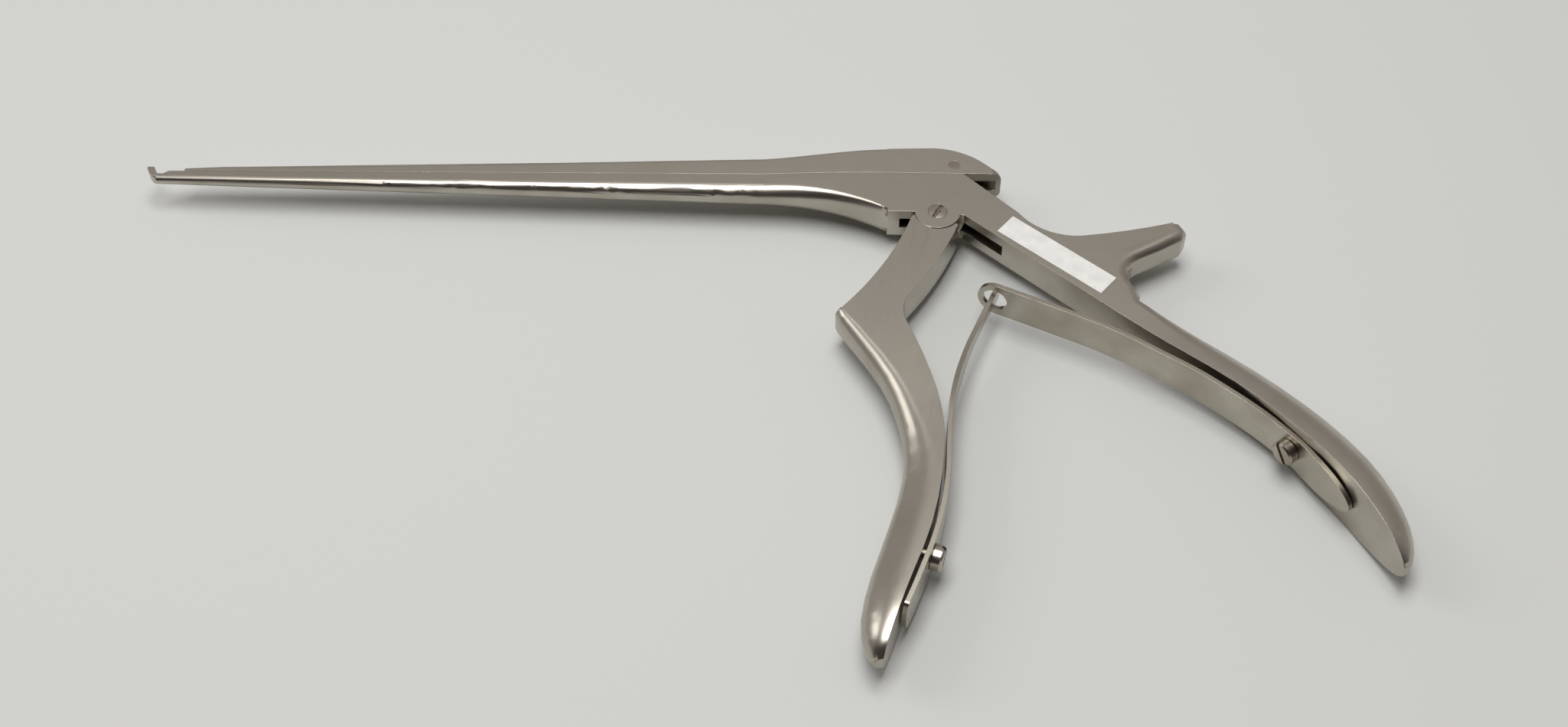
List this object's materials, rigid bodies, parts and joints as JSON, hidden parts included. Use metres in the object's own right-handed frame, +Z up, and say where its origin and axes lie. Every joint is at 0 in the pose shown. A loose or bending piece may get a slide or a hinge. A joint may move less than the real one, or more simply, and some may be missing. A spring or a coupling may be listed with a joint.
{
  "type": "kerrison rongeur",
  "caption": "Pistol-handled bone punch: a long shaft with a sliding upper half closes on an upturned footplate when the sprung front handle is squeezed.",
  "frame": {"origin": "bottom centre of the tool's box, lying on its side on a table", "axes": "+Z up from the table along the hinge pin, -X along the shaft to the footplate, -Y from the shaft towards the handles"},
  "size_m": [0.2956, 0.1458, 0.016],
  "materials": {
    "satin_steel": "satin",
    "slider_steel": "satin",
    "handle_steel": "satin",
    "screw_steel": "satin",
    "pin_steel": "satin",
    "spring_steel": "satin",
    "white_tape": "matte"
  },
  "bodies": {
    "main": {"frame": "satin_steel", "pivot_screw": "screw_steel", "rear_leaf_spring": "spring_steel", "rear_spring_screw": "screw_steel", "marking_tape": "white_tape"},
    "squeeze_lever": {"front_handle": "handle_steel", "front_leaf_spring": "spring_steel", "front_spring_screw": "screw_steel"},
    "slider": {"sliding_shaft": "slider_steel", "drive_pin": "pin_steel"}
  },
  "joints": [
    {"name": "squeeze", "type": "hinge", "parent": "main", "child": "squeeze_lever", "pos_m": [0.0467, 0.05165, 0.008], "axis": [0, 0, 1], "range_deg": [0, 25], "stiffness_Nm_per_rad": 1.6, "springref_deg": -11.46, "deforming": ["rear_leaf_spring", "front_leaf_spring"]},
    {"name": "slide", "type": "slide", "parent": "main", "child": "slider", "axis": [-1, 0, 0], "range_m": [0, 0.00686]}
  ],
  "couplings": [
    {"joint": "slide", "follows": "squeeze", "m_per_rad": 0.01571}
  ]
}
